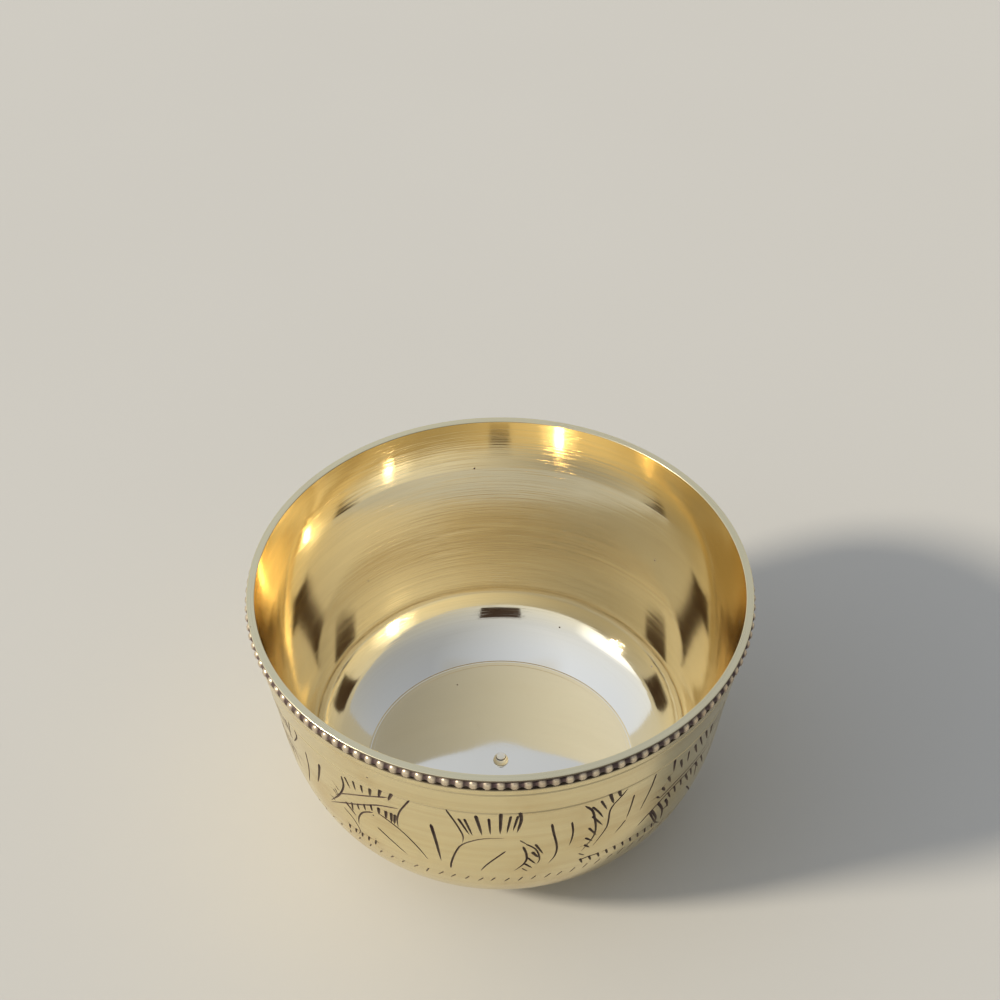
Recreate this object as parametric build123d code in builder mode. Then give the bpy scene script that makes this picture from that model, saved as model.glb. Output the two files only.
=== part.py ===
from build123d import *
import os
from math import atan2, cos, hypot, radians, sin, sqrt, tan

# A small turned brass offering bowl: a cup with a flat lip, a beaded wire let into a seat under the
# lip, and a low foot held by one rivet through the middle of the floor. Millimetres, Z up, and the
# origin is the middle of the foot's standing face.

# Rim and lip
rim_radius = 40.0           # outer edge of the flat lip
lip_width = 1.2             # flat top of the lip, measured across
lip_thickness = 0.35        # metal of the lip above the beads
lip_edge_round = 0.12       # worn round on both edges of the lip

# Heights, added up from the standing face
foot_height = 2.2           # standing face to underside of the cup
heel_height = 13.3          # underside of the cup to the start of the heel curve
belly_rise = 9.5            # heel curve to waist
upper_rise = 22.5           # waist to lip
floor_thickness = 1.4       # metal under the flat floor

# Wall
wall_top_inset = 0.1        # wall under the beads, in from the lip's edge
waist_inset = 3.25          # waist, in from the lip's edge
waist_slope = 6.6           # lean of the wall at the waist, degrees from upright
belly_inset = 2.2           # start of the heel curve, in from the waist
wall_thickness = 1.55       # at the start of the heel curve, measured level
floor_radius = 23.15        # flat turned floor, out to its crease

# Inside of the wall: a long arc under the band, a tight knuckle, and a cone-like arc to the floor
inner_lean = 7.1            # lean of the inside just under the band, degrees from upright
knuckle_inset = 0.65        # start of the knuckle, in from the inside at the start of the heel curve
knuckle_drop = 2.4          # start of the knuckle, below the start of the heel curve
knuckle_run = 2.15          # knuckle, measured across
knuckle_fall = 3.7          # knuckle, measured down

# Flared band inside the rim, and the two fine lines turned on the outside
band_drop = 9.4             # lower edge of the band, below the lip
band_slope = 8.8            # lean of the band, degrees from upright
upper_line_drop = 3.9       # upper turned line, below the lip
line_width = 0.4            # mouth of a turned line

# Beaded wire
bead_count = 125
bead_diameter = 1.8
bead_reach = 0.4            # beads stand out past the lip's edge
bead_seat_depth = 0.75      # seat for the wire, in from the lip's edge
bead_clearance = 0.05       # above and below the beads
wire_core_height = 1.1      # strip that carries the beads
wire_core_depth = 0.5       # the strip's thickness, outwards from its seat

# Foot
foot_seat_inset = 0.65      # flat face under the cup, in from the floor's crease
foot_ledge = 0.5            # foot's top edge, in from the edge of that face
foot_spread = 0.6           # foot's standing edge, out from its top edge
foot_rim_width = 3.6        # ring that the bowl stands on
foot_web = 1.2              # plate inside the ring
foot_edge_round = 0.3

# Rivet
rivet_shank_radius = 0.9
rivet_clearance = 0.05      # shank in its bores
rivet_head_radius = 1.45    # head on the floor, at its foot
rivet_crown_radius = 0.95   # flat top of the head
rivet_head_height = 1.1
rivet_tail_radius = 2.2     # hammered tail under the foot's plate
rivet_tail_height = 0.6
rivet_tail_bevel = 0.3

# Heights worked out from the above
underside = foot_height
heel_level = underside + heel_height
waist_level = heel_level + belly_rise
lip_level = waist_level + upper_rise
floor_level = underside + floor_thickness
knuckle_level = heel_level - knuckle_drop
band_level = lip_level - band_drop
seat_top = lip_level - lip_thickness
seat_bottom = seat_top - bead_diameter - 2 * bead_clearance
bead_level = (seat_top + seat_bottom) / 2

# Radii worked out from the above
lip_inner_radius = rim_radius - lip_width
bead_seat_radius = rim_radius - bead_seat_depth
wall_top_radius = rim_radius - wall_top_inset
waist_radius = rim_radius - waist_inset
heel_radius = waist_radius - belly_inset
knuckle_radius = heel_radius - wall_thickness - knuckle_inset
band_radius = lip_inner_radius - band_drop * tan(radians(band_slope))
rivet_bore_radius = rivet_shank_radius + rivet_clearance
foot_seat_radius = floor_radius - foot_seat_inset
foot_top_radius = foot_seat_radius - foot_ledge
foot_radius = foot_top_radius + foot_spread


def wall_radius(level):
    """Outer radius of the wall between waist and beads, on the arc that leaves the waist at its lean."""
    lean = radians(waist_slope)
    run = wall_top_radius - waist_radius
    rise = seat_bottom - waist_level
    half_turn = atan2(run, rise) - lean
    arc_radius = hypot(run, rise) / (2 * sin(half_turn))
    slope = sin(lean) + (level - waist_level) / arc_radius
    return waist_radius + arc_radius * (cos(lean) - sqrt(1 - slope * slope))


# Cup: one closed outline turned about the upright axis
waist_up = (sin(radians(waist_slope)), cos(radians(waist_slope)))
waist_down = (-waist_up[0], -waist_up[1])
inner_down = (-sin(radians(inner_lean)), -cos(radians(inner_lean)))
with BuildPart() as bowl_shell:
    with BuildSketch(Plane.XZ):
        with BuildLine():
            lip = Line((lip_inner_radius, lip_level), (rim_radius, lip_level))
            seat = Polyline(
                lip @ 1,
                (rim_radius, seat_top),
                (bead_seat_radius, seat_top),
                (bead_seat_radius, seat_bottom),
                (wall_top_radius, seat_bottom),
            )
            outer_waist = (waist_radius, waist_level)
            TangentArc(outer_waist, seat @ 1, tangent=waist_up)
            outer_belly = TangentArc(outer_waist, (heel_radius, heel_level), tangent=waist_down)
            outer_heel = TangentArc(
                outer_belly @ 1, (foot_seat_radius, underside), tangent=outer_belly % 1
            )
            band = Line(lip @ 0, (band_radius, band_level))
            inner_wall = TangentArc(band @ 1, (knuckle_radius, knuckle_level), tangent=inner_down)
            knuckle = TangentArc(
                inner_wall @ 1,
                (knuckle_radius - knuckle_run, knuckle_level - knuckle_fall),
                tangent=inner_wall % 1,
            )
            inner_heel = TangentArc(knuckle @ 1, (floor_radius, floor_level), tangent=knuckle % 1)
            Polyline(
                inner_heel @ 1,
                (rivet_bore_radius, floor_level),
                (rivet_bore_radius, underside),
                outer_heel @ 1,
            )
        make_face()
    revolve(axis=Axis.Z)
    lip_edges = bowl_shell.edges().filter_by(GeomType.CIRCLE).group_by(Axis.Z)[-1]
    fillet(lip_edges, radius=lip_edge_round)
    # the two turned lines are square rods set on edge and let into the wall
    for line_level in (lip_level - upper_line_drop, band_level):
        with BuildSketch(Plane.XZ):
            with Locations((wall_radius(line_level), line_level)):
                Rectangle(line_width / sqrt(2), line_width / sqrt(2), rotation=45)
        revolve(axis=Axis.Z, mode=Mode.SUBTRACT)
bowl_shell.part.label = "bowl_shell"

# Beaded wire: round beads in a row on a narrow strip, flat at the back where it meets its seat
with BuildPart() as beaded_wire:
    with BuildSketch(Plane.XZ):
        with Locations((bead_seat_radius, bead_level)):
            Rectangle(wire_core_depth, wire_core_height, align=(Align.MIN, Align.CENTER))
    revolve(axis=Axis.Z)
    with Locations((0, 0, bead_level)):
        with PolarLocations(rim_radius + bead_reach - bead_diameter / 2, bead_count):
            Sphere(bead_diameter / 2)
        Cylinder(bead_seat_radius, 2 * bead_diameter, mode=Mode.SUBTRACT)
beaded_wire.part.label = "beaded_wire"

# Foot: a plate with a standing ring, flat on the underside of the cup
with BuildPart() as foot:
    with BuildSketch(Plane.XZ):
        with BuildLine():
            Polyline(
                (rivet_bore_radius, underside),
                (foot_top_radius, underside),
                (foot_radius, 0),
                (foot_radius - foot_rim_width, 0),
                (foot_radius - foot_rim_width, underside - foot_web),
                (rivet_bore_radius, underside - foot_web),
                close=True,
            )
        make_face()
    revolve(axis=Axis.Z)
    standing_edges = foot.edges().filter_by(GeomType.CIRCLE).group_by(Axis.Z)[0]
    fillet(standing_edges, radius=foot_edge_round)
foot.part.label = "foot"

# Rivet: head on the floor of the cup, shank through cup and foot, tail hammered over the foot's plate
with BuildPart() as centre_rivet:
    with BuildSketch(Plane.XZ):
        with BuildLine():
            tail_level = underside - foot_web
            Polyline(
                (0, floor_level + rivet_head_height),
                (rivet_crown_radius, floor_level + rivet_head_height),
                (rivet_head_radius, floor_level),
                (rivet_shank_radius, floor_level),
                (rivet_shank_radius, tail_level),
                (rivet_tail_radius, tail_level),
                (rivet_tail_radius - rivet_tail_bevel, tail_level - rivet_tail_height),
                (0, tail_level - rivet_tail_height),
                close=True,
            )
        make_face()
    revolve(axis=Axis.Z)
centre_rivet.part.label = "centre_rivet"

os.makedirs("parts", exist_ok=True)
for piece in (bowl_shell, beaded_wire, foot, centre_rivet):
    export_step(piece.part, f"parts/{piece.part.label}.step")
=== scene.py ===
from math import radians

import bpy
import numpy as np
from mathutils import Matrix, Vector
from mathutils.geometry import delaunay_2d_cdt


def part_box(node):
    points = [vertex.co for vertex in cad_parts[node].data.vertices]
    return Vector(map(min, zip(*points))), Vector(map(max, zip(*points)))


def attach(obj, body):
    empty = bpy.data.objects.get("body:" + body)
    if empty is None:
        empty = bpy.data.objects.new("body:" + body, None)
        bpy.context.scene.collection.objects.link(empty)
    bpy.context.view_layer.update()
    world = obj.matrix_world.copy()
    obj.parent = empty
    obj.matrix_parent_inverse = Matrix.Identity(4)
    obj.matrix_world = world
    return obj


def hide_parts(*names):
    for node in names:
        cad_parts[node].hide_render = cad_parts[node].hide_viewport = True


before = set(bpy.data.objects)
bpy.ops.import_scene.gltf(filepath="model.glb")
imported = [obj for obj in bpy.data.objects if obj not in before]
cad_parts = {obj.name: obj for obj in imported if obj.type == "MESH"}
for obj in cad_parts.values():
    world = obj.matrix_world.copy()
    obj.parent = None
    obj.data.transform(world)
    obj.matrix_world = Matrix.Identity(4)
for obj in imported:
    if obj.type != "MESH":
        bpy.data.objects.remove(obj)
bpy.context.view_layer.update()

# A small turned brass offering bowl. Lengths are in millimetres until a mesh is made, then in metres.
# Angles on the wall are degrees from the front, the side towards -Y, and grow towards +X.
MM = 0.001
COLUMNS = 360                # steps round the bowl

shell_low, shell_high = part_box("bowl_shell")
wire_low, wire_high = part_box("beaded_wire")
rivet_low, rivet_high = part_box("centre_rivet")

# Cup, as in the solids
rim_radius = shell_high.x / MM
lip_level = shell_high.z / MM
underside = shell_low.z / MM
lip_width = 1.2
lip_thickness = 0.35
lip_edge_round = 0.12
heel_level = 15.5
waist_level = 25.0
floor_level = 3.6
floor_radius = 23.15
floor_dish = 0.065           # floor drawn down round the rivet
floor_dish_radius = 4.0
crease_bead = (0.45, 0.035)  # small round bead turned at the floor's crease: width and height
floor_line = (0.35, -0.02)   # fine line turned in the floor inside it: width and height
floor_line_radius = 21.95
foot_seat_radius = 22.5
wall_top_radius = 39.9
waist_radius = 36.75
heel_radius = 34.55
waist_slope = 6.6            # degrees from upright
wall_thickness = 1.55        # at the heel level, measured level
inner_lean = 7.1             # inside just under the band, degrees from upright
knuckle_inset = 0.65         # the knuckle is the tight turn low on the inside
knuckle_drop = 2.4
knuckle_run = 2.15
knuckle_fall = 3.7
shade_blur = 1.0             # the inside's normals are evened out over this length
low_lean = 12.0              # degrees that the low normals lean in more than the outline does
low_lean_start = 29.6        # radius where that begins, and where it is full
low_lean_full = 27.6
band_drop = 9.4
band_slope = 8.8             # degrees from upright
upper_line_drop = 3.9
line_half_width = 0.26
line_depth = 0.09
line_darkness = 0.42         # patina in the turned lines
bead_seat_radius = 39.25
bore_radius = 0.95
bead_clearance = 0.05
recess_patina_and_shade = 0.9          # patina in the wire's seat; in the rivet's step patina and painted shade under the cap

# Beads, foot and rivet
bead_count = 125
bead_radius = (wire_high.z - wire_low.z) / MM / 2
bead_level = (wire_high.z + wire_low.z) / MM / 2
bead_circle = wire_high.x / MM - bead_radius
bead_strip = 0.52            # half height of the strip that carries the beads
bead_rows = 9                # points over a bead from its back round its front
bead_spread = 0.05           # how far beads differ in size and stray from their places
foot_top_radius = 22.0
foot_radius = 22.6
foot_rim_width = 3.6
foot_web = 1.2
foot_edge_round = 0.3
rivet_shank_radius = 0.9
rivet_head_radius = 1.3
rivet_cap_radius = 0.78
rivet_tail_radius = rivet_high.x / MM
rivet_tail_bevel = 0.3

# Heights and radii worked out from the above
lip_inner_radius = rim_radius - lip_width
band_level = lip_level - band_drop
band_radius = lip_inner_radius - band_drop * np.tan(radians(band_slope))
knuckle = (heel_radius - wall_thickness - knuckle_inset, heel_level - knuckle_drop)
knuckle_foot = (knuckle[0] - knuckle_run, knuckle[1] - knuckle_fall)
seat_top = lip_level - lip_thickness
seat_bottom = bead_level - bead_radius - bead_clearance
upper_line_level = lip_level - upper_line_drop
patch_top = band_level + 1.1      # the engraved part of the wall lies between these levels
patch_bottom = 14.4


# Outlines: a run is an array of points (radius, level) and the angle of travel at each of them

def line_run(start, end, steps=1):
    """Straight run from start to end in equal steps."""
    start, end = np.array(start, float), np.array(end, float)
    share = np.linspace(0, 1, steps + 1)[:, None]
    travel = end - start
    return start + share * travel, np.full(steps + 1, np.arctan2(travel[1], travel[0]))


def arc_run(start, end, leaving, steps):
    """Arc from start to end, leaving start at a given angle: the chord lies half the turn off that angle."""
    start, end = np.array(start, float), np.array(end, float)
    chord = end - start
    half_turn = (np.arctan2(chord[1], chord[0]) - leaving + np.pi) % (2 * np.pi) - np.pi
    radius = np.hypot(*chord) / (2 * np.sin(half_turn))
    angle = leaving + 2 * half_turn * np.linspace(0, 1, steps + 1)
    across = np.sin(angle) - np.sin(leaving)
    along = np.cos(leaving) - np.cos(angle)
    return start + radius * np.stack([across, along], 1), angle


def turned_round(run):
    """The same run travelled the other way."""
    points, angle = run
    return points[::-1], angle[::-1] + np.pi


def corner_run(before, corner, after, radius, steps=4):
    """Straight from before to a rounded corner, and the round itself: two runs."""
    before, corner, after = (np.array(p, float) for p in (before, corner, after))
    inward = (before - corner) / np.hypot(*(before - corner))
    outward = (after - corner) / np.hypot(*(after - corner))
    half_angle = np.arccos(np.clip(inward @ outward, -1, 1)) / 2
    setback = radius / np.tan(half_angle)
    first = line_run(before, corner + setback * inward)
    return [first, arc_run(first[0][-1], corner + setback * outward, first[1][-1], steps)]


def rounded_outline(corners, rounds):
    """Runs round a closed outline of straight sides, each corner rounded by its own radius."""
    count = len(corners)
    runs, start = [], None
    for index in range(count):
        before, corner, after = corners[index - 1], corners[index], corners[(index + 1) % count]
        if rounds[index] == 0:
            runs.append(line_run(before if start is None else start, corner))
        else:
            runs += corner_run(before if start is None else start, corner, after, rounds[index])
        start = runs[-1][0][-1]
    first_point = runs[-1][0][-1]
    if rounds[-1]:
        runs[0] = line_run(first_point, runs[0][0][-1])
    return runs


def round_the_axis(angle_degrees):
    """Unit vectors outwards from the axis, for angles from the front."""
    angle = np.radians(angle_degrees)
    return np.stack([np.sin(angle), -np.cos(angle)], -1)


def turned_surface(runs, zones, columns=COLUMNS):
    """Runs carried round the upright axis: a grid of quads, with the outline's own normals at every
    corner. No quad joins one run to the next."""
    outline = np.concatenate([points for points, angle in runs])
    travel = np.concatenate([angle for points, angle in runs])
    zone = np.concatenate([np.full(len(run[0]), z) for run, z in zip(runs, zones)])
    run_start = np.cumsum([0] + [len(points) for points, angle in runs])
    step = np.arange(len(outline))
    step = np.setdiff1d(step, run_start[1:] - 1)      # the last point of a run starts no quad
    around = round_the_axis(np.linspace(-180, 180, columns + 1))
    points = np.empty((len(outline), columns + 1, 3))
    points[..., :2] = outline[:, None, :1] * around
    points[..., 2] = outline[:, 1:]
    normals = np.empty_like(points)
    normals[..., :2] = -np.sin(travel)[:, None, None] * around
    normals[..., 2] = np.cos(travel)[:, None]
    row, column = np.meshgrid(step, np.arange(columns), indexing="ij")
    wide = columns + 1
    quads = np.stack([row * wide + column, (row + 1) * wide + column,
                      (row + 1) * wide + column + 1, row * wide + column + 1], -1).reshape(-1, 4)
    corner_normals = normals.reshape(-1, 3)[quads]
    return points.reshape(-1, 3), quads, corner_normals, np.repeat(zone[step], columns)


def weld(points, faces, fineness=4):
    """Joins points that share a place to a ten-thousandth of a millimetre, and renumbers the faces."""
    rounded = np.round(points, fineness)
    _, first, number = np.unique(rounded, axis=0, return_index=True, return_inverse=True)
    return points[first], number.reshape(-1)[faces]


def make_piece(name, points, faces, corner_normals, materials, zone, patina):
    """One mesh object from arrays of faces with four or three corners. Each array has the normals and the
    patina of its corners, and the material numbers of its faces. On the beads and in the rivet's step that
    patina is partly painted shade."""
    lists, normals, zones, dark = [], [], [], []
    for block, block_normals, block_zone, block_dark in zip(faces, corner_normals, zone, patina):
        every = slice(None)
        parts = [(np.ones(len(block), bool), every)]
        if block.shape[1] == 4:
            # a quad that closes on the axis is a triangle
            closed_low = block[:, 0] == block[:, 3]
            closed_high = block[:, 1] == block[:, 2]
            still_open = ~(closed_low | closed_high)
            parts = [(closed_low, [0, 1, 2]), (closed_high, [0, 1, 3]), (still_open, every)]
        for chosen, corners in parts:
            lists += block[chosen][:, corners].tolist()
            normals.append(block_normals[chosen][:, corners].reshape(-1, 3))
            zones.append(block_zone[chosen])
            dark.append(block_dark[chosen][:, corners].reshape(-1))
    mesh = bpy.data.meshes.new(name)
    mesh.from_pydata((points * MM).tolist(), [], lists)
    for material in materials:
        mesh.materials.append(material)
    mesh.polygons.foreach_set("material_index", np.concatenate(zones).astype(np.int32))
    mesh.polygons.foreach_set("use_smooth", np.ones(len(lists), bool))
    filled = mesh.attributes.new("patina", "FLOAT", "CORNER")
    filled.data.foreach_set("value", np.concatenate(dark).astype(np.float32))
    mesh.update()
    mesh.normals_split_custom_set(np.concatenate(normals).astype(np.float32))
    piece = bpy.data.objects.new(name, mesh)
    bpy.context.scene.collection.objects.link(piece)
    return piece


def dress(piece, node):
    """The piece rides on the part's one body and stands for its solid, which is hidden."""
    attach(piece, "root")
    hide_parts(node)


# Engraving on the wall: each cut is a spine through listed points (angle in degrees, level in mm)

CUTS = {                     # width at the head, width at the tail, depth, darkness
    "bold": (0.62, 0.38, 0.22, 1.0),
    "tick": (0.46, 0.30, 0.18, 1.0),
    "line": (0.35, 0.30, 0.13, 1.0),
    "faint": (0.32, 0.28, 0.10, 0.9),
    "pale": (0.30, 0.26, 0.05, 0.0),
}

bars = [
    ("bold", [(-47.0, 34.2), (-48.6, 30.7), (-50.8, 26.7)]),
    ("line", [(-52.7, 33.7), (-53.9, 28.5), (-56.5, 22.8)]),
    ("line", [(-57.9, 37.8), (-59.5, 34.5), (-61.1, 31.2)]),
    ("tick", [(-60.5, 36.4), (-60.5, 33.5)]),
    ("tick", [(-55.1, 37.7), (-55.4, 35.6), (-58.8, 32.1)]),
    ("line", [(-64.0, 27.5), (-62.7, 23.6)]),
    ("bold", [(-16.2, 32.9), (-15.3, 27.3), (-14.6, 22.2)]),
]
feather_and_arch = [
    ("line", [(-26.0, 37.0), (-31.4, 34.7), (-37.2, 32.0), (-41.4, 29.7), (-43.9, 27.7)]),
    ("line", [(-23.7, 34.7), (-28.9, 33.3), (-33.1, 31.3), (-37.2, 29.3), (-41.4, 27.2), (-46.8, 24.1)]),
    ("tick", [(-39.0, 36.2), (-39.3, 33.1), (-41.9, 29.1), (-46.3, 24.8)]),
    ("tick", [(-37.9, 36.5), (-37.0, 33.6)]),
    ("faint", [(-43.1, 30.2), (-42.2, 28.2)]),
    ("pale", [(-50.0, 18.7), (-40.0, 18.6), (-29.0, 18.8)]),
    ("tick", [(-35.4, 36.8), (-35.4, 34.1)]),
    ("tick", [(-33.1, 36.9), (-33.3, 34.5)]),
    ("bold", [(-30.6, 37.2), (-31.2, 34.7)]),
    ("bold", [(-27.7, 38.3), (-28.7, 35.6)]),
    ("bold", [(-24.8, 38.5), (-26.2, 35.9)]),
    ("line", [(-20.5, 38.4), (-22.2, 36.0), (-23.7, 33.7), (-24.7, 31.0), (-24.8, 28.5)]),
    ("bold", [(-26.0, 32.4), (-26.5, 29.3)]),
    ("bold", [(-25.0, 32.3), (-25.8, 29.1)]),
    ("bold", [(-27.4, 32.3), (-27.9, 29.8)]),
    ("bold", [(-29.4, 32.3), (-29.7, 30.2)]),
    ("tick", [(-31.6, 32.0), (-31.6, 30.2)]),
    ("tick", [(-33.8, 31.1), (-33.7, 29.3)]),
    ("tick", [(-36.0, 30.0), (-35.8, 28.3)]),
    ("tick", [(-37.9, 29.3), (-38.1, 26.8)]),
    ("bold", [(-40.2, 28.2), (-38.6, 27.0), (-37.3, 25.6)]),
    ("faint", [(-42.3, 31.2), (-41.5, 30.3)]),
    ("faint", [(-43.8, 29.4), (-43.1, 28.5)]),
    ("faint", [(-45.2, 26.5), (-44.2, 25.8)]),
    ("line", [(-31.4, 30.0), (-32.7, 29.5), (-34.7, 28.3), (-36.0, 26.8), (-36.8, 25.2), (-37.1, 23.4)]),
    ("faint", [(-41.4, 26.0), (-38.9, 24.5), (-37.7, 22.7), (-37.5, 21.0), (-39.1, 19.2)]),
    ("line", [(-29.7, 30.6), (-26.4, 29.3), (-23.9, 27.9), (-21.4, 25.8), (-19.3, 23.5), (-18.0, 21.4)]),
    ("line", [(-31.0, 26.0), (-27.2, 23.7), (-23.5, 21.0)]),
]
fan_and_arch = [
    ("line", [(-12.2, 38.2), (-10.3, 34.7), (-9.1, 32.0), (-8.7, 30.6), (-9.0, 28.8)]),
    ("tick", [(-9.6, 36.1), (-7.2, 31.4)]),
    ("tick", [(-8.2, 36.2), (-6.5, 31.2)]),
    ("bold", [(-5.6, 37.5), (-4.3, 31.5)]),
    ("tick", [(-2.7, 36.8), (-2.4, 31.8)]),
    ("bold", [(0.0, 38.3), (-0.2, 32.0)]),
    ("tick", [(2.2, 37.5), (1.3, 32.2)]),
    ("tick", [(3.8, 37.5), (2.7, 32.9)]),
    ("bold", [(4.2, 38.5), (4.5, 36.0), (3.6, 32.3)]),
    ("line", [(-12.5, 20.2), (-12.0, 22.7), (-10.7, 26.0), (-9.1, 28.3), (-6.0, 30.0), (-3.2, 30.7),
              (1.1, 30.9)]),
    ("faint", [(4.4, 30.0), (6.2, 28.6)]),
    ("line", [(5.7, 28.9), (8.0, 27.2), (9.0, 25.2), (9.2, 23.5), (8.4, 22.2)]),
    ("line", [(1.1, 27.0), (-2.4, 23.9), (-4.1, 22.0), (-5.1, 20.4)]),
    ("tick", [(5.1, 28.2), (5.9, 26.2), (6.1, 24.3), (5.3, 22.7), (3.0, 20.6)]),
    ("tick", [(8.0, 28.5), (10.1, 25.2)]),
    ("bold", [(7.4, 26.2), (9.0, 24.3)]),
    ("tick", [(6.3, 24.7), (8.4, 22.5)]),
    ("tick", [(5.7, 22.9), (7.6, 21.2)]),
    ("faint", [(5.1, 21.4), (6.5, 20.2)]),
    ("tick", [(11.5, 34.1), (12.2, 31.0), (13.0, 28.1), (13.3, 26.0), (12.8, 23.9), (11.3, 21.9)]),
    ("line", [(16.3, 33.3), (16.9, 30.2), (16.7, 27.7), (16.2, 26.2)]),
]
frond = [
    ("tick", [(18.9, 37.2), (21.0, 35.0), (22.0, 32.2), (22.6, 29.7), (22.6, 27.7), (21.8, 26.0),
              (19.5, 23.5)]),
    ("tick", [(20.8, 36.2), (22.6, 34.1), (24.3, 31.6)]),
    ("tick", [(22.8, 37.2), (24.9, 33.7)]),
    ("bold", [(24.9, 38.2), (26.4, 34.7)]),
    ("bold", [(27.2, 37.9), (28.0, 36.0)]),
    ("line", [(29.5, 37.7), (28.0, 36.0), (26.4, 34.5), (25.7, 32.9), (25.8, 29.7), (25.3, 27.7),
              (22.4, 23.9)]),
    ("tick", [(21.2, 33.3), (24.5, 29.3)]),
    ("tick", [(20.8, 30.0), (23.2, 27.0)]),
    ("tick", [(20.3, 27.2), (22.4, 25.6)]),
    ("tick", [(20.3, 25.2), (21.8, 23.9)]),
    ("faint", [(19.1, 23.0), (20.8, 21.8)]),
    ("line", [(31.9, 34.7), (31.6, 31.0), (31.0, 28.1)]),
    ("faint", [(30.9, 27.9), (29.8, 26.7), (28.2, 25.2)]),
    ("line", [(37.4, 37.5), (36.8, 33.5), (34.9, 28.4)]),
]
long_feather = [
    ("line", [(35.2, 23.8), (38.8, 25.8), (45.0, 28.1), (54.9, 28.9), (63.3, 28.4)]),
    ("line", [(41.0, 28.2), (47.3, 29.6), (56.8, 30.2), (62.0, 30.4)]),
    ("bold", [(43.1, 37.7), (44.2, 33.7)]),
    ("bold", [(42.6, 33.3), (44.1, 31.0)]),
    ("bold", [(41.4, 31.0), (42.8, 29.4)]),
    ("tick", [(40.1, 29.3), (41.2, 28.3)]),
    ("bold", [(45.9, 35.8), (47.7, 32.4)]),
    ("tick", [(48.6, 36.4), (49.6, 32.8)]),
    ("bold", [(50.9, 36.4), (53.7, 32.4)]),
    ("tick", [(52.3, 37.6), (56.1, 32.6)]),
    ("bold", [(55.2, 37.1), (58.2, 32.9)]),
    ("tick", [(58.0, 36.4), (60.5, 32.4)]),
    ("bold", [(43.8, 26.4), (45.6, 23.4), (42.8, 23.9)]),
    ("bold", [(41.0, 27.2), (43.6, 23.6), (44.6, 19.9)]),
    ("bold", [(39.1, 26.2), (41.9, 22.2), (42.1, 19.4)]),
    ("tick", [(38.5, 26.0), (42.0, 21.0), (45.0, 18.6)]),
    ("tick", [(44.3, 27.8), (46.0, 25.4)]),
    ("tick", [(46.4, 28.2), (47.8, 25.6)]),
    ("tick", [(48.8, 28.4), (50.0, 26.0)]),
    ("bold", [(50.7, 28.6), (53.2, 25.3)]),
    ("tick", [(52.9, 28.6), (54.7, 25.5)]),
    ("bold", [(54.8, 29.0), (57.5, 26.0)]),
    ("tick", [(57.7, 28.8), (61.0, 24.6)]),
    ("line", [(53.4, 23.5), (56.5, 20.5), (59.6, 17.6)]),
    ("line", [(19.9, 20.7), (22.6, 21.0), (25.4, 20.6)]),
    ("pale", [(25.0, 18.6), (36.0, 18.8), (48.0, 18.7), (58.0, 18.6)]),
]
sector = bars + feather_and_arch + fan_and_arch + frond + long_feather
sector_turns = (0, 120, 240)      # the front first, then the same pattern round the back
hand_wander = 0.22                # how far the same cut strays in another sector
widest_cut = 90                   # degrees: a cut that reaches wider has been split by the seam
head_share = 0.07                 # share of a cut's length in its round head
tail_share = 0.3                  # and in its drawn-out tail
tail_fade = 0.08                  # patina lost along a cut
spine_step = 0.8                  # between the points of a cut's spine
shallowest = 0.012                # anything less deep is left flat
dash_step = 3.4                   # degrees between the dashes of the border
dash_levels = (18.0, 16.5)        # head and tail of a dash
dash_lean = 0.65                  # degrees to each side of its middle
dash_wander = 0.12
tick_rows = ((-41.5, -33.0, 2.1), (20.2, 42.5, 2.35))   # first angle, last angle and step
tick_levels = (21.0, 19.1)
tick_lean = 0.45
unroll_radius = 37.0              # the wall is laid flat at this radius
seam_angle = 135.0                # and opened here, where no stroke crosses
seam_gap = 2                      # degrees that the border's dashes keep off the seam
wall_columns = 120
wall_row = 1.5


def slanted(kind, angle, lean, levels):
    """A short straight cut that leans to each side of its angle."""
    return kind, [(angle + lean, levels[0]), (angle - lean, levels[1])]


def border_cuts():
    """A ring of slanted dashes low on the wall, and rows of short ticks above it under the feathers."""
    around = np.arange(seam_angle - 360 + seam_gap, seam_angle - seam_gap, dash_step)
    dashes = [slanted("faint", angle, dash_lean, dash_levels) for angle in around]
    ticks = []
    for first, last, step in tick_rows:
        lean = tick_lean if first < 0 else -tick_lean
        ticks += [slanted("tick", angle, lean, tick_levels) for angle in np.arange(first, last, step)]
    return dashes, ticks


def all_cuts():
    """Every cut on the wall as (kind, points): the sector round the bowl with a hand's small wander."""
    rng = np.random.default_rng(7)
    dashes, ticks = border_cuts()
    cuts = []
    for turn in sector_turns:
        for kind, points in sector + ticks:
            points = np.array(points)
            if turn:
                points = points + rng.normal(0, hand_wander, points.shape)
            points[:, 0] = (points[:, 0] + turn - seam_angle) % 360 + seam_angle - 360
            if np.ptp(points[:, 0]) < widest_cut:
                cuts.append((kind, points))
    for kind, points in dashes:
        cuts.append((kind, np.array(points) + rng.normal(0, dash_wander, (2, 2))))
    return cuts


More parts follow.
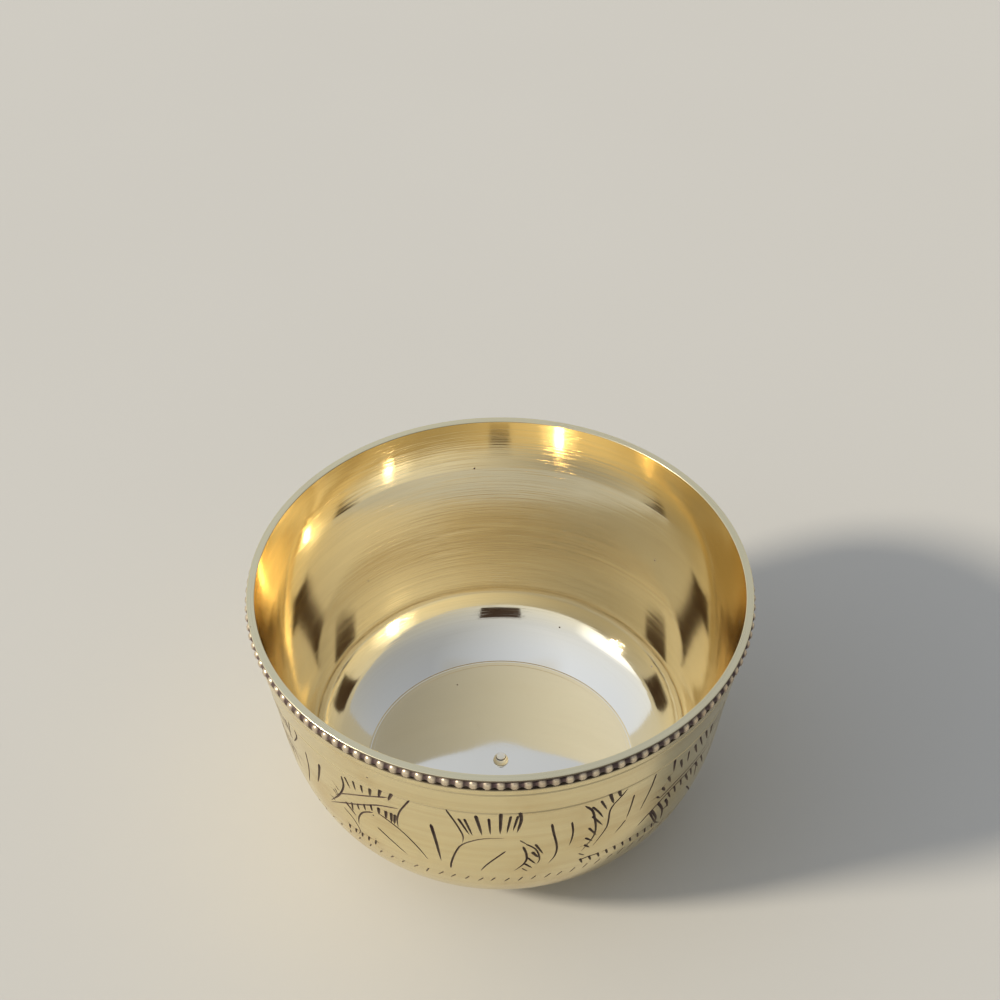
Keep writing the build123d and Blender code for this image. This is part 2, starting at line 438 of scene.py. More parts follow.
def smooth_path(corners, step):
    """Catmull-Rom curve through the corners, in points about one step apart, closer at the head."""
    ends = np.vstack([2 * corners[0] - corners[1], corners, 2 * corners[-1] - corners[-2]])
    a, b, c, d = (ends[k:len(ends) - 3 + k, None] for k in range(4))
    t = np.linspace(0, 1, 16, endpoint=False)[None, :, None]
    curve = 2 * b + (c - a) * t + (2 * a - 5 * b + 4 * c - d) * t ** 2 + (3 * b - a - 3 * c + d) * t ** 3
    curve = np.vstack([0.5 * curve.reshape(-1, 2), corners[-1]])
    length = np.concatenate([[0], np.cumsum(np.hypot(*np.diff(curve, axis=0).T))])
    steps = max(4, int(length[-1] / step))
    share = np.concatenate([[0, 0.025], np.linspace(head_share, 1, steps)])
    at = share * length[-1]
    return np.stack([np.interp(at, length, curve[:, k]) for k in range(2)], 1), share


def cut_outline(kind, corners):
    """Spine of a cut laid flat, with its half width: full at a round head, drawn out to a fine tail."""
    head, tail, depth, dark = CUTS[kind]
    flat = corners * [np.pi / 180 * unroll_radius, 1]
    spine, share = smooth_path(flat, spine_step)
    half = 0.5 * (head + (tail - head) * share)
    half = half * np.sqrt(np.clip(share / head_share, 0, 1))
    half = half * np.sqrt(np.clip((1 - share) / tail_share, 0, 1))
    travel = np.gradient(spine, axis=0)
    side = np.stack([-travel[:, 1], travel[:, 0]], 1) / np.hypot(*travel.T)[:, None]
    return spine, half, side, depth * half / half.max(), dark * (1 - tail_fade * share)


def wall_profile():
    """The outer wall as a dense table from the foot up to the seat: level, radius and angle of travel."""
    up = np.pi / 2 - radians(waist_slope)
    flare = turned_round(arc_run((waist_radius, waist_level), (wall_top_radius, seat_bottom), up, 300))
    belly = arc_run((waist_radius, waist_level), (heel_radius, heel_level), up - np.pi, 150)
    heel = arc_run(belly[0][-1], (foot_seat_radius, underside), belly[1][-1], 400)
    points = np.concatenate([flare[0], belly[0][1:], heel[0][1:]])[::-1]
    travel = np.concatenate([flare[1] - 2 * np.pi, belly[1][1:], heel[1][1:]])[::-1]
    return points[:, 1], points[:, 0], travel


WALL_LEVEL, WALL_RADIUS, WALL_TRAVEL = wall_profile()


def wall_run(top, bottom, steps):
    """Run down the outer wall between two levels."""
    level = np.linspace(top, bottom, steps + 1)
    travel = np.interp(level, WALL_LEVEL, WALL_TRAVEL)
    return np.stack([np.interp(level, WALL_LEVEL, WALL_RADIUS), level], 1), travel


def carving(flat, cuts):
    """Depth and darkness at places on the flat wall: a V from each cut's edges down to its spine."""
    starts = np.concatenate([spine[:-1] for spine, *rest in cuts])
    travel = np.concatenate([spine[1:] for spine, *rest in cuts]) - starts
    near_end, far_end = slice(None, -1), slice(1, None)
    values = [[np.concatenate([cut[k][end] for cut in cuts]) for end in (near_end, far_end)]
              for k in (1, 3, 4)]
    depth, dark = np.zeros(len(flat)), np.zeros(len(flat))
    at_once = 1500
    for chunk in np.array_split(np.arange(len(flat)), max(1, len(flat) // at_once)):
        away = flat[chunk, None] - starts
        share = np.clip((away * travel).sum(-1) / np.maximum((travel ** 2).sum(-1), 1e-12), 0, 1)
        gap = np.hypot(*np.moveaxis(away - share[..., None] * travel, -1, 0))
        half, deep, black = (near + share * (far - near) for near, far in values)
        inside = np.clip(1 - gap / np.maximum(half, 1e-6), 0, 1)
        depth[chunk] = (inside * deep).max(1)
        dark[chunk] = np.where(inside > 0.02, black, 0).max(1)
    ring = np.clip(1 - np.abs(flat[:, 1] - band_level) / line_half_width, 0, 1) * line_depth
    dark = np.where(ring > depth, np.maximum(dark, line_darkness), dark)
    depth = np.maximum(depth, ring)
    return np.where(depth < shallowest, 0, depth), dark


def engraved_wall():
    """The engraved part of the wall, a function of angle and level: the wall's radius less the depth of the
    cuts, a V from each cut's outline to its spine, laid over a triangulation that follows the cuts."""
    cuts = [cut_outline(kind, corners) for kind, corners in all_cuts()]
    points, edges, count = [], [], 0

    def add(chain):
        nonlocal count
        points.append(chain)
        first = np.arange(count, count + len(chain) - 1)
        edges.append(np.stack([first, first + 1], 1))
        count += len(chain)

    left, right = np.radians([seam_angle - 360, seam_angle]) * unroll_radius
    flat_columns = np.linspace(left, right, COLUMNS + 1)
    seam_levels = np.linspace(patch_top, patch_bottom, 18)
    line_levels = band_level + np.array([line_half_width, 0, -line_half_width])
    for level in (patch_top, patch_bottom, *line_levels):
        add(np.stack([flat_columns, np.full_like(flat_columns, level)], 1))
    for side in (left, right):
        levels = np.unique(np.concatenate([seam_levels, line_levels]))
        add(np.stack([np.full_like(levels, side), levels], 1))
    for spine, half, side, depth, dark in cuts:
        add(spine)
        for sign in (-1, 1):
            add(spine + sign * half[:, None] * side)
    inner_levels = np.arange(patch_bottom + wall_row, patch_top - 0.5, wall_row)
    inner_columns = np.linspace(left, right, wall_columns, endpoint=False)[1:]
    loose = np.stack(np.meshgrid(inner_columns, inner_levels), -1).reshape(-1, 2)
    loose[:, 0] += np.where(np.round(loose[:, 1] / wall_row) % 2 == 0, 0.9, 0)
    points.append(loose)
    flat = np.concatenate(points)
    sheet = delaunay_2d_cdt([Vector(p) for p in flat], np.concatenate(edges).tolist(), [], 0, 1e-5)
    flat = np.array([tuple(v) for v in sheet[0]])
    faces = np.array(sheet[2])
    # the sheet comes back a little rounded, so its edges are set back on their columns and levels
    column = np.radians(360 / COLUMNS) * unroll_radius
    for level in (patch_top, patch_bottom):
        on_edge = np.abs(flat[:, 1] - level) < 1e-3
        flat[on_edge, 0] = np.round(flat[on_edge, 0] / column) * column
        flat[on_edge, 1] = level
    for side in (left, right):
        flat[np.abs(flat[:, 0] - side) < 1e-3, 0] = side

    depth, dark = carving(flat, cuts)
    face_depth, face_dark = carving(flat[faces].mean(1), cuts)
    radius = np.interp(flat[:, 1], WALL_LEVEL, WALL_RADIUS)
    lean = np.interp(flat[:, 1], WALL_LEVEL, WALL_TRAVEL)
    out = round_the_axis(np.degrees(flat[:, 0] / unroll_radius))
    normals = np.concatenate([-np.sin(lean)[:, None] * out, np.cos(lean)[:, None]], 1)
    places = np.concatenate([radius[:, None] * out, flat[:, 1:]], 1) - depth[:, None] * normals
    first, second, third = (places[faces[:, k]] for k in range(3))
    flat_normal = np.cross(second - first, third - first)
    flat_normal /= np.maximum(np.linalg.norm(flat_normal, axis=1), 1e-12)[:, None]
    cut_face = face_depth > 0
    corner_normals = np.where(cut_face[:, None, None], flat_normal[:, None], normals[faces])
    darkness = np.where(cut_face[:, None], np.maximum(dark[faces], face_dark[:, None]), 0)
    return places, faces, corner_normals, darkness


# Pieces

INSIDE, LIP, OUTSIDE = 0, 1, 2


def turned_floor():
    """Run out over the floor to its crease. The level falls off the flat like a bell curve round the rivet,
    dips in one fine line and rises in a bead at the crease, both with a squared sine for their section."""
    plain_start, line_start = 12.0, floor_line_radius - 0.1
    radius = np.concatenate([np.linspace(bore_radius, plain_start, 26),
                             np.linspace(plain_start, line_start, 5)[1:-1],
                             np.linspace(line_start, floor_radius, 27)])
    sunk = floor_dish * np.exp(-(radius / floor_dish_radius) ** 2)
    level = floor_level - sunk
    slope = 2 * radius / floor_dish_radius ** 2 * sunk
    bead_start = floor_radius - crease_bead[0]
    for start, (width, height) in ((floor_line_radius, floor_line), (bead_start, crease_bead)):
        phase = np.clip((radius - start) / width, 0, 1) * np.pi
        level = level + height * np.sin(phase) ** 2
        slope = slope + height * np.pi / width * np.sin(2 * phase)
    return np.stack([radius, level], 1), np.arctan(slope)


def inside_run():
    """Run down the inside from the band to the crease: three arcs. Their angles are averaged along the
    outline with a bell-shaped weight and lean in more by a smooth step towards the floor, so that only the
    normals change."""
    wall = arc_run((band_radius, band_level), knuckle, -np.pi / 2 - radians(inner_lean), 32)
    bend = arc_run(knuckle, knuckle_foot, wall[1][-1], 24)
    heel = arc_run(knuckle_foot, (floor_radius, floor_level), bend[1][-1], 22)
    points = np.concatenate([wall[0], bend[0][1:], heel[0][1:]])
    angle = np.concatenate([wall[1], bend[1][1:], heel[1][1:]])
    length = np.concatenate([[0], np.cumsum(np.hypot(*np.diff(points, axis=0).T))])
    weight = np.exp(-0.5 * ((length[:, None] - length) / shade_blur) ** 2) * np.gradient(length)
    angle = weight @ angle / weight.sum(1)
    share = np.clip((low_lean_start - points[:, 0]) / (low_lean_start - low_lean_full), 0, 1)
    return points, angle - radians(low_lean) * share * share * (3 - 2 * share)


def shell_runs():
    """The cup's outline from the bore out over the floor, up the inside, over the lip and down the
    outside, with a gap where the engraved part fits in. Returns the runs and their zones."""
    lip_corner, lip_foot = (rim_radius, lip_level), (rim_radius, seat_top)
    inner_edge = corner_run((band_radius, band_level), (lip_inner_radius, lip_level),
                            lip_corner, lip_edge_round)
    outer_edge = corner_run(inner_edge[1][0][-1], lip_corner, lip_foot, lip_edge_round)
    groove_top, groove_foot = upper_line_level + line_half_width, upper_line_level - line_half_width
    above = wall_run(seat_bottom, groove_top, 3)
    below = wall_run(groove_foot, patch_top, 5)
    groove_bed = (np.interp(upper_line_level, WALL_LEVEL, WALL_RADIUS) - line_depth, upper_line_level)
    floor = turned_floor()
    inside = [floor, turned_round(inside_run()), inner_edge[0]]
    lip = [inner_edge[1], *outer_edge, line_run(outer_edge[1][0][-1], lip_foot)]
    outside = [line_run(lip_foot, (bead_seat_radius, seat_top)),
               line_run((bead_seat_radius, seat_top), (bead_seat_radius, seat_bottom)),
               line_run((bead_seat_radius, seat_bottom), (wall_top_radius, seat_bottom)),
               above, line_run(above[0][-1], groove_bed), line_run(groove_bed, below[0][0]), below]
    under = [wall_run(patch_bottom, underside, 26),
             line_run((foot_seat_radius, underside), (bore_radius, underside)),
             line_run((bore_radius, underside), floor[0][0])]
    zones = [INSIDE] * len(inside) + [LIP] * len(lip) + [OUTSIDE] * (len(outside) + len(under))
    return inside + lip + outside + under, zones


def make_shell(materials):
    """The cup: its turned surface with the engraved part of the wall welded in. Patina fills the wire's seat,
    the upper turned line and the cuts."""
    runs, zones = shell_runs()
    points, quads, quad_normals, quad_zone = turned_surface(runs, zones)
    places, triangles, triangle_normals, darkness = engraved_wall()
    joined, numbers = weld(np.concatenate([points, places]), np.arange(len(points) + len(places)))
    quads, triangles = numbers[quads], numbers[triangles + len(points)]
    corner = joined[quads]
    radius, level = np.hypot(corner[..., 0], corner[..., 1]), corner[..., 2]
    outside = (quad_zone != INSIDE)[:, None] & (radius > bead_seat_radius - 0.5)
    in_seat = outside & (level < lip_level - 0.05) & (level > seat_bottom - 0.3)
    patina = np.where(in_seat, recess_patina_and_shade, 0)
    in_line = np.all(np.abs(level - upper_line_level) < line_half_width + 0.01, axis=1)
    patina = np.where(in_line[:, None] & outside, line_darkness, patina)
    piece = make_piece(
        "bowl_shell_skin", joined, [quads, triangles], [quad_normals, triangle_normals], materials,
        zone=[quad_zone, np.full(len(triangles), OUTSIDE)], patina=[patina, darkness])
    dress(piece, "bowl_shell")


def make_beads(material):
    """A row of round beads on a narrow strip, carried round the rim: the section's radius follows each
    bead's sphere, falls to the strip between beads, and is cut flat at the back where it meets its seat."""
    rng = np.random.default_rng(11)
    pitch = 2 * np.pi * bead_circle / bead_count
    across = np.radians([-72, -46, -16, 16, 46, 72])
    offset = np.concatenate([[-pitch / 2], bead_radius * np.sin(across)])
    size = 1 + rng.uniform(-bead_spread, 0.0, bead_count)
    shift = rng.uniform(-bead_spread, bead_spread, bead_count)
    on_bead = np.abs(offset) < pitch / 2.1
    along = (np.arange(bead_count)[:, None] * pitch + offset + shift[:, None] * on_bead).ravel()
    tall = np.sqrt(np.maximum((bead_radius * size[:, None]) ** 2 - (offset * size[:, None]) ** 2, 0))
    tall[:, 0] = 0
    tall = np.maximum(tall, bead_strip).ravel()
    crown = np.clip((tall - bead_strip) / (bead_radius - bead_strip), 0, 1)
    back = bead_circle - bead_seat_radius
    reach = np.arccos(-back / np.maximum(tall, back))
    rows = bead_rows
    swing = np.linspace(-1, 1, rows)[:, None] * reach
    radius = bead_circle + tall * np.cos(swing)
    level = bead_level + tall * np.sin(swing)
    out = round_the_axis(np.degrees(along / bead_circle))
    points = np.concatenate([radius[..., None] * out, level[..., None]], -1)
    columns = len(along)
    row, column = np.meshgrid(np.arange(rows), np.arange(columns), indexing="ij")
    next_row, next_column = (row + 1) % rows, (column + 1) % columns
    quads = np.stack([row * columns + column, row * columns + next_column,
                      next_row * columns + next_column, next_row * columns + column], -1).reshape(-1, 4)
    flat = points.reshape(-1, 3)
    along_ring = np.roll(points, -1, 1) - np.roll(points, 1, 1)
    up_section = np.gradient(points, axis=0)
    normals = np.cross(along_ring, up_section)
    normals /= np.linalg.norm(normals, axis=-1, keepdims=True)
    corner_normals = normals.reshape(-1, 3)[quads]
    behind = row.reshape(-1) == rows - 1
    inward = np.concatenate([-out, np.zeros((columns, 1))], 1)
    inward_corners = np.tile(inward, (rows, 1))[quads]
    corner_normals = np.where(behind[:, None, None], inward_corners, corner_normals)
    # The beads' darkening is patina in the gaps, and painted shade over each bead's top, underside and sides;
    # only the crown is left bright.
    worn = crown * np.clip(1.25 * np.cos(swing * 0.9), 0, 1)
    patina = np.clip(1.4 - 1.45 * worn, 0, 1)
    piece = make_piece("bead_row", flat, [quads], [corner_normals], [material],
                       zone=[np.zeros(len(quads))], patina=[patina.reshape(-1)[quads]])
    dress(piece, "beaded_wire")


def make_turned(name, node, corners, rounds, material, columns=180, filled=()):
    """A small turned piece: a closed outline with rounded corners, carried round the axis. filled holds the
    lowest and highest (radius, level) of a groove that is made dark, with patina and painted shade."""
    runs = rounded_outline(corners, rounds)
    points, quads, normals, zone = turned_surface(runs, [0] * len(runs), columns=columns)
    joined, quads = weld(points, quads)
    on_axis = (quads[:, 0] == quads[:, 3]) & (quads[:, 1] == quads[:, 2])
    quads = quads[~on_axis]
    patina = np.zeros(quads.shape)
    if filled:
        corner = joined[quads]
        outline = np.stack([np.hypot(corner[..., 0], corner[..., 1]), corner[..., 2]], -1)
        patina[np.all((outline > filled[0]) & (outline < filled[1]), axis=(1, 2))] = recess_patina_and_shade
    piece = make_piece(name, joined, [quads], [normals[~on_axis]], [material],
                       zone=[zone[~on_axis]], patina=[patina])
    dress(piece, node)


def make_foot(material):
    """Plate with a standing ring, its outline taken from the standing edge inwards."""
    web_level = underside - foot_web
    inner = foot_radius - foot_rim_width
    corners = [(bore_radius, underside), (foot_top_radius, underside), (foot_radius, 0), (inner, 0),
               (inner, web_level), (bore_radius, web_level)]
    rounds = [0, 0.05, foot_edge_round, foot_edge_round, 0.2, 0]
    make_turned("foot_ring", "foot", corners, rounds, material)


def make_rivet(material):
    """Head with a worn cap on a rounded base and a step between that is darkened with patina and painted
    shade, shank, and a hammered tail.
    """
    crown_level = rivet_high.z / MM
    tail_level = underside - foot_web
    tail_foot = rivet_low.z / MM
    step_level = crown_level - 0.3
    corners = [(0, tail_foot), (0, crown_level - 0.02), (rivet_cap_radius, crown_level),
               (rivet_cap_radius, step_level), (rivet_cap_radius + 0.12, step_level - 0.03),
               (rivet_head_radius - 0.12, floor_level + 0.42), (rivet_head_radius, floor_level),
               (rivet_shank_radius, floor_level), (rivet_shank_radius, tail_level),
               (rivet_tail_radius, tail_level), (rivet_tail_radius - rivet_tail_bevel, tail_foot)]
    rounds = [0, 0, 0.1, 0.02, 0.1, 0.3, 0, 0, 0, 0.05, 0.1]
    # the step under the cap is painted dark all round: painted shade of the cap's edge, with patina
    groove = ((rivet_cap_radius - 0.01, step_level - 0.05), (rivet_cap_radius + 0.1, crown_level - 0.08))
    make_turned("rivet_head_and_tail", "centre_rivet", corners, rounds, material, 72, groove)


# Finishes

class Sheet:
    """Shader nodes of one tree, added by type with their values and links."""

    def __init__(self, tree):
        self.tree = tree

    def put(self, socket, value):
        """Links a socket to another one, or sets its value."""
        if isinstance(value, bpy.types.NodeSocket):
            self.tree.links.new(value, socket)
        else:
            socket.default_value = value

    def node(self, kind, values=None, **settings):
        """A node with its settings, and values for its inputs."""
        made = self.tree.nodes.new(kind)
        for key, value in settings.items():
            setattr(made, key, value)
        for key, value in (values or {}).items():
            self.put(made.inputs[key], value)
        return made

    def math(self, operation, a, b=0.0, c=0.0, clamp=False):
        """One sum on up to three values."""
        made = self.node("ShaderNodeMath", {0: a, 1: b, 2: c}, operation=operation, use_clamp=clamp)
        return made.outputs[0]

    def vector(self, operation, a, b=(0, 0, 0)):
        """One sum on two vectors."""
        return self.node("ShaderNodeVectorMath", {0: a, 1: b}, operation=operation).outputs[0]

    def noise(self, place, scale, detail, roughness=0.5):
        """Cloudy noise from 0 to 1."""
        values = {"Vector": place, "Scale": scale, "Detail": detail, "Roughness": roughness}
        return self.node("ShaderNodeTexNoise", values).outputs["Fac"]

    def mix(self, share, a, b):
        """Colour a turned into colour b by a share."""
        made = self.node("ShaderNodeMix", data_type="RGBA")
        for number, value in ((0, share), (6, a), (7, b)):
            self.put(made.inputs[number], value)
        return made.outputs[2]

    def span(self, value, low, high, to_low=0.0, to_high=1.0):
        """Smooth step from to_low, where value is low, to to_high, where it is high."""
        return self.node("ShaderNodeMapRange", {0: value, 1: low, 2: high, 3: to_low, 4: to_high},
                         interpolation_type="SMOOTHSTEP").outputs[0]


def new_material(name):
    """Empty material and the sheet of its nodes."""
    material = bpy.data.materials.new(name)
    material.use_nodes = True
    material.node_tree.nodes.clear()
    return material, Sheet(material.node_tree)


def new_group(name, inputs, outputs):
    """Empty shader group with named float or vector sockets."""
    tree = bpy.data.node_groups.new(name, "ShaderNodeTree")
    for key, kind in inputs:
        tree.interface.new_socket(key, in_out="INPUT", socket_type=kind)
    for key, kind in outputs:
        tree.interface.new_socket(key, in_out="OUTPUT", socket_type=kind)
    sheet = Sheet(tree)
    return tree, sheet, sheet.node("NodeGroupInput").outputs, sheet.node("NodeGroupOutput").inputs


def turning_lines_group():
    """Lines left by the lathe: noise stretched round the axis and crowded along the turned outline, which
    is measured by radius plus level in millimetres. Score is the few deeper ones."""
    tree, s, given, out = new_group(
        "turning lines",
        [("Position", "NodeSocketVector")],
        [("Fine", "NodeSocketFloat"), ("Broad", "NodeSocketFloat"), ("Score", "NodeSocketFloat")])
    level = s.vector("MULTIPLY", given["Position"], (1, 1, 0))
    round_axis = s.vector("NORMALIZE", level)
    radius = s.node("ShaderNodeVectorMath", {0: level}, operation="LENGTH").outputs["Value"]
    height = s.node("ShaderNodeSeparateXYZ", {0: given["Position"]}).outputs["Z"]
    outline = s.math("MULTIPLY", s.math("ADD", radius, height), 1000.0)
    kinds = (("Fine", 3.2, 1.0, 2.0), ("Broad", 0.55, 1.0, 2.0), ("Score", 9.0, 2.2, 1.0))
    for key, crowd, stretch, detail in kinds:
        along = s.node("ShaderNodeCombineXYZ", {"Z": s.math("MULTIPLY", outline, crowd)}).outputs[0]
        ring = s.node("ShaderNodeVectorMath", {0: round_axis, "Scale": stretch}, operation="SCALE")
        lines = s.noise(s.vector("ADD", ring.outputs[0], along), 1.0, detail)
        tree.links.new(s.span(lines, 0.6, 0.8) if key == "Score" else lines, out[key])
    return tree


def tarnish_group():
    """Soft blotches of tarnish in two sizes, and sparse dark pits."""
    tree, s, given, out = new_group(
        "tarnish",
        [("Position", "NodeSocketVector")],
        [("Blotch", "NodeSocketFloat"), ("Mottle", "NodeSocketFloat"), ("Pits", "NodeSocketFloat")])
    large = s.noise(given["Position"], 70.0, 4.0, 0.55)
    small = s.noise(given["Position"], 420.0, 5.0, 0.6)
    cells = s.node("ShaderNodeTexVoronoi", {"Vector": given["Position"], "Scale": 260.0, "Randomness": 1.0})
    near = s.span(cells.outputs["Distance"], 0.06, 0.03)
    lot = s.node("ShaderNodeSeparateColor", {0: cells.outputs["Color"]}).outputs[0]
    chosen = s.math("GREATER_THAN", lot, 0.78)
    tree.links.new(s.span(large, 0.48, 0.72), out["Blotch"])
    tree.links.new(s.span(small, 0.35, 0.7), out["Mottle"])
    tree.links.new(s.math("MULTIPLY", near, chosen), out["Pits"])
    return tree


TURNING_LINES = turning_lines_group()
TARNISH = tarnish_group()
# colour of the patina in recesses, and of the painted shade in the rivet's step
dark_patina_and_shade = (0.030, 0.012, 0.015)
# colour of the beads' patina, and of the painted shade over their sides
bead_patina_and_shade = (0.060, 0.036, 0.036)


def brass(name, bright, dull, roughness, spread, lines, scores, brush, tarnish, pits, anisotropy,
          low=None, recess=dark_patina_and_shade):
    """A brass finish: bright metal with turning lines, tarnish blotches, pits and patina in its recesses; on
    the beads and in the rivet's step that darkening is also painted shade.
    lines and scores are the heights of the turning lines in millimetres, and brush is how much they darken
    it. low is another bright colour below the knuckle, where the lines are finer too."""
    material, s = new_material(name)
    position = s.node("ShaderNodeTexCoord").outputs["Object"]
    turned = s.node("ShaderNodeGroup", node_tree=TURNING_LINES)
    stains = s.node("ShaderNodeGroup", node_tree=TARNISH)
    for group in (turned, stains):
        material.node_tree.links.new(position, group.inputs["Position"])
    above = 1.0
    if low:
        level = s.node("ShaderNodeSeparateXYZ", {0: position}).outputs["Z"]
        above = s.span(level, floor_level * MM, knuckle[1] * MM)
        bright = s.mix(above, (*low, 1), (*bright, 1))
    else:
        bright = (*bright, 1)
    stained = s.math("MULTIPLY", stains.outputs["Blotch"], tarnish)
    streaked = s.math("MULTIPLY", s.span(turned.outputs["Broad"], 0.4, 0.75), tarnish * 0.6)
    worn = s.math("MULTIPLY", s.math("ADD", stained, streaked, clamp=True), above)
    colour = s.mix(worn, bright, (*dull, 1))
    fine_mask = s.span(turned.outputs["Fine"], 0.40, 0.68)
    brushed = s.math("MULTIPLY", fine_mask, s.math("MULTIPLY", above, brush))
    colour = s.mix(brushed, colour, (*[0.6 * part for part in dull], 1))
    pitted = s.math("MULTIPLY", stains.outputs["Pits"], pits)
    # patina, and on the beads and in the rivet's step painted shade
    filled = s.node("ShaderNodeAttribute", attribute_name="patina").outputs["Fac"]
    broken = s.math("MULTIPLY_ADD", stains.outputs["Mottle"], -0.08, 1.0)
    dark = s.math("MAXIMUM", pitted, s.math("MULTIPLY", filled, broken, clamp=True))
    colour = s.mix(dark, colour, (*recess, 1))
    shine = s.math("MULTIPLY_ADD", turned.outputs["Fine"], spread, roughness - spread / 2)
    shine = s.math("MULTIPLY_ADD", stained, roughness * 0.4, shine)
    shine = s.math("MULTIPLY_ADD", dark, 0.35, shine)
    metal = s.math("SUBTRACT", 1.0, dark)
    scored = s.math("MULTIPLY", turned.outputs["Score"], scores)
    height = s.math("MULTIPLY_ADD", turned.outputs["Fine"], lines, scored)
    height = s.math("MULTIPLY", height, s.math("MULTIPLY_ADD", above, 0.8, 0.2))
    bump = s.node("ShaderNodeBump", {"Strength": 1.0, "Distance": MM, "Height": height})
    tangent = s.node("ShaderNodeTangent", direction_type="RADIAL", axis="Z").outputs[0]
    shader = s.node("ShaderNodeBsdfPrincipled", {
        "Base Color": colour, "Metallic": metal, "Roughness": shine, "Normal": bump.outputs[0],
        "Anisotropic": anisotropy, "Anisotropic Rotation": 0.25, "Tangent": tangent,
        "Specular IOR Level": 0.15})
    s.node("ShaderNodeOutputMaterial", {"Surface": shader.outputs[0]})
    return material


polished_inside = brass(
    "polished inside", (0.955, 0.82, 0.545), (0.92, 0.765, 0.48), roughness=0.06, spread=0.02, lines=0.007,
    scores=0.0025, brush=0.10, tarnish=0.25, pits=1.0, anisotropy=0.7, low=(0.92, 0.86, 0.72))
worn_lip = brass(
    "worn lip", (0.79, 0.70, 0.455), (0.70, 0.61, 0.39), roughness=0.25, spread=0.08, lines=0.006,
    scores=0.001, brush=0.1, tarnish=0.30, pits=0.6, anisotropy=0.3)
satin_outside = brass(
    "satin outside", (0.84, 0.72, 0.42), (0.66, 0.50, 0.24), roughness=0.19, spread=0.06, lines=0.003,
    scores=0.0006, brush=0.1, tarnish=0.5, pits=1.0, anisotropy=0.5)
bead_brass = brass(
    "beaded brass", (0.80, 0.67, 0.48), (0.50, 0.38, 0.26), roughness=0.15, spread=0.04, lines=0.0,
    scores=0.0, brush=0.0, tarnish=0.6, pits=0.0, anisotropy=0.0, recess=bead_patina_and_shade)
foot_brass = brass(
    "foot brass", (0.84, 0.70, 0.42), (0.62, 0.48, 0.26), roughness=0.34, spread=0.10, lines=0.008,
    scores=0.001, brush=0.1, tarnish=0.5, pits=1.0, anisotropy=0.4)
rivet_brass = brass(
    "rivet brass", (0.93, 0.89, 0.78), (0.82, 0.76, 0.62), roughness=0.3, spread=0.05, lines=0.003,
    scores=0.0, brush=0.0, tarnish=0.3, pits=0.4, anisotropy=0.2)

make_shell([polished_inside, worn_lip, satin_outside])
make_beads(bead_brass)
make_foot(foot_brass)
make_rivet(rivet_brass)


# Stage: pale floor, soft sky, one key light and a dark card

def stage_sheet(name, points, shades, cloud, roughness, gloss):
    """A flat stage piece with a matt colour that drifts between two shades. cloud is the drift's scale and
    detail."""
    mesh = bpy.data.meshes.new(name)
    mesh.from_pydata(points, [], [list(range(len(points)))])
    sheet = bpy.data.objects.new(name, mesh)
    bpy.context.scene.collection.objects.link(sheet)
    material, s = new_material(name.replace("_", " "))
    position = s.node("ShaderNodeTexCoord").outputs["Object"]
    colour = s.mix(s.noise(position, *cloud), *[(*shade, 1) for shade in shades])
    shader = s.node("ShaderNodeBsdfPrincipled", {
        "Base Color": colour, "Roughness": roughness, "Specular IOR Level": gloss})
    s.node("ShaderNodeOutputMaterial", {"Surface": shader.outputs[0]})
    mesh.materials.append(material)
    return sheet


def make_floor():
    """A pale round floor, a little below the standing face, in metres."""
    sides, radius, drop = 96, 6.0, 0.00002
    angle = np.linspace(0, 2 * np.pi, sides + 1)[:-1]
    ring = np.stack([radius * np.cos(angle), radius * np.sin(angle), np.full(sides, -drop)], 1)
    shades = ((0.46, 0.445, 0.41), (0.48, 0.465, 0.43))
    floor = stage_sheet("pale_floor", ring.tolist(), shades, cloud=(9.0, 3.0), roughness=0.8, gloss=0.2)


def direction(azimuth, elevation):
    """Unit vector for an azimuth from the +Y side towards +X and an elevation, both in degrees."""
    turn, rise = radians(azimuth), radians(elevation)
    return Vector((np.sin(turn) * np.cos(rise), np.cos(turn) * np.cos(rise), np.sin(rise)))


def make_sun(name, azimuth, elevation, strength, colour, softness):
    """Distant lamp from an azimuth and an elevation."""
    lamp = bpy.data.lights.new(name, "SUN")
    lamp.energy = strength
    lamp.color = colour
    lamp.angle = radians(softness)
    holder = bpy.data.objects.new(name, lamp)
    holder.rotation_euler = direction(azimuth, elevation).to_track_quat("Z", "Y").to_euler()
    bpy.context.scene.collection.objects.link(holder)


key_azimuth, key_elevation = -105.5, 31.7


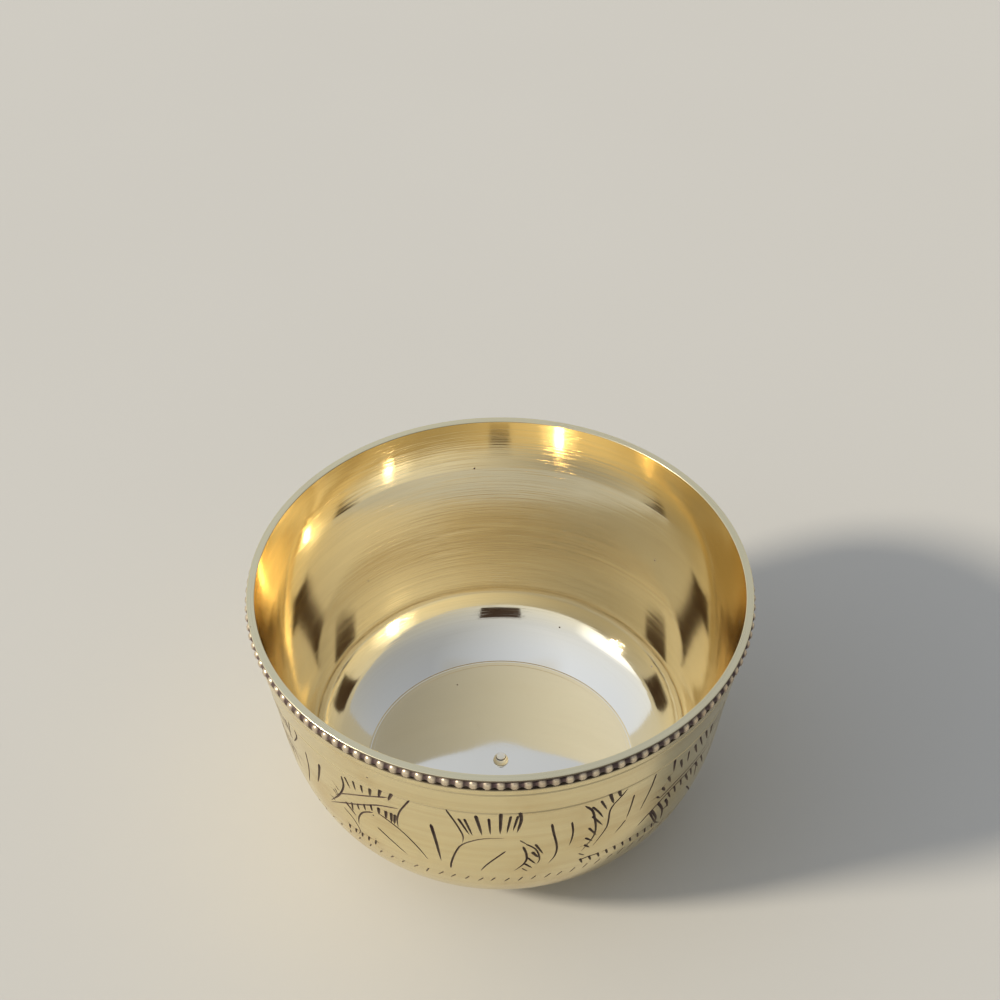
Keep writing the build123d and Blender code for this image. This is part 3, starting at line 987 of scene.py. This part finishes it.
def make_sky():
    """Soft dome: pale at the horizon, cool above, a warmer patch just past the top, brighter on the left,
    with a soft glow round the key light."""
    pale, cool, warm = (0.80, 0.80, 0.73, 1), (0.56, 0.61, 0.72, 1), (0.51, 0.495, 0.45, 1)
    left_lift, glow, glow_edge, glow_core = -0.36, 1.2, np.cos(radians(24)), np.cos(radians(3))
    world = bpy.data.worlds.new("soft dome")
    bpy.context.scene.world = world
    world.use_nodes = True
    world.node_tree.nodes.clear()
    s = Sheet(world.node_tree)
    look = s.node("ShaderNodeTexCoord").outputs["Generated"]
    x, y, height = s.node("ShaderNodeSeparateXYZ", {0: look}).outputs
    level = s.vector("MULTIPLY", look, (1, 1, 0))
    reach = s.node("ShaderNodeVectorMath", {0: level}, operation="LENGTH").outputs["Value"]
    sideways = s.math("DIVIDE", x, s.math("MAXIMUM", reach, 0.35))
    colour = s.mix(s.span(height, 0.15, 0.85), pale, cool)
    warmed = s.math("MULTIPLY", s.span(height, 0.945, 0.985), s.span(y, -0.06, 0.06))
    colour = s.mix(warmed, colour, warm)
    tilt = s.math("MULTIPLY", s.span(height, 0.08, 0.3), left_lift)
    lift = s.math("MULTIPLY_ADD", sideways, tilt, 1.0)
    key = direction(key_azimuth, key_elevation)
    facing = s.node("ShaderNodeVectorMath", {0: look, 1: key}, operation="DOT_PRODUCT").outputs["Value"]
    strength = s.math("MULTIPLY_ADD", s.span(facing, glow_edge, glow_core), glow, lift)
    background = s.node("ShaderNodeBackground", {"Color": colour, "Strength": strength})
    s.node("ShaderNodeOutputWorld", {"Surface": background.outputs[0]})


def make_card():
    """A dark card held round the lens, just behind it, in metres: the polished inside mirrors it."""
    across, top, foot, behind = 0.058, 0.010, -0.080, 0.004
    corners = [(-across, foot, behind), (across, foot, behind), (across, top, behind),
               (-across, top, behind)]
    place = bpy.context.scene.camera.matrix_world
    points = [tuple(place @ Vector(corner)) for corner in corners]
    shades = ((0.05, 0.035, 0.03), (0.09, 0.06, 0.05))
    card = stage_sheet("dark_card", points, shades, cloud=(40.0, 2.0), roughness=0.9, gloss=0.1)


def make_camera():
    """Camera at the photograph's place: a slight lean, no shift, everything in focus."""
    camera = bpy.data.cameras.new("camera")
    camera.sensor_width = 36.0
    camera.lens = 70.52
    camera.clip_start = 0.01
    holder = bpy.data.objects.new("camera", camera)
    tilt, roll = radians(90 - 43.058), radians(-0.179)
    holder.matrix_world = (Matrix.Translation((0.0, -0.21737, 0.26835))
                           @ Matrix.Rotation(tilt, 4, "X") @ Matrix.Rotation(roll, 4, "Z"))
    bpy.context.scene.collection.objects.link(holder)
    bpy.context.scene.camera = holder


make_floor()
make_sky()
make_sun("key", key_azimuth, key_elevation, 3.9, (1.0, 0.92, 0.78), 8.0)
make_camera()
make_card()
bpy.context.scene.view_settings.view_transform = "Standard"
bpy.context.scene.cycles.max_bounces = 20
bpy.context.scene.cycles.glossy_bounces = 16      # light goes many times round inside the polished cup
